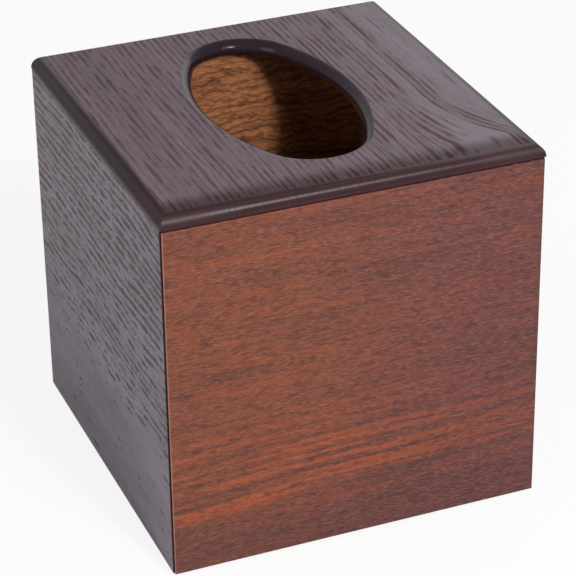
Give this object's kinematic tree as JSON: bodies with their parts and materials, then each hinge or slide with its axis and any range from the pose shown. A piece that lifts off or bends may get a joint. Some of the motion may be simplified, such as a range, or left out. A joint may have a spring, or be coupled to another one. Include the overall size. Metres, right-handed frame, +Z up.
{
  "type": "tissue box cover with drawer",
  "caption": "Wooden cube tissue box cover with an oval mouth in its rounded top and a plain walnut drawer that slides out of a dark ash sleeve to take the carton.",
  "frame": {"origin": "middle of the underside of the felt feet", "axes": "+Z up, the drawer front faces -Y and the drawer opens along -Y, +X to the right as seen from the front"},
  "size_m": [0.15, 0.153, 0.151],
  "materials": {
    "dark_ash": "dark-stained open-pore ash, satin oil",
    "walnut": "planed walnut, satin oil",
    "birch_plywood": "sanded, unfinished",
    "beech": "turned, unfinished",
    "felt": "pressed felt",
    "nickel": "nickel plated"
  },
  "bodies": {
    "cover": {"top_panel": "dark_ash", "left_side_panel": "dark_ash", "right_side_panel": "dark_ash", "back_panel": "dark_ash", "base_panel": "dark_ash", "left_corner_tongue": "birch_plywood", "right_corner_tongue": "birch_plywood", "top_panel_dowels": "beech", "cover_magnets": "nickel", "foot_pads": "felt"},
    "drawer": {"drawer_front": "walnut", "drawer_left_side": "walnut", "drawer_right_side": "walnut", "drawer_back": "walnut", "drawer_bottom": "birch_plywood", "drawer_front_dowels": "beech", "drawer_back_dowels": "beech", "drawer_magnets": "nickel"}
  },
  "joints": [
    {"name": "drawer_slide", "type": "slide", "parent": "cover", "child": "drawer", "axis": [0, -1, 0], "range_m": [0, 0.122]}
  ]
}
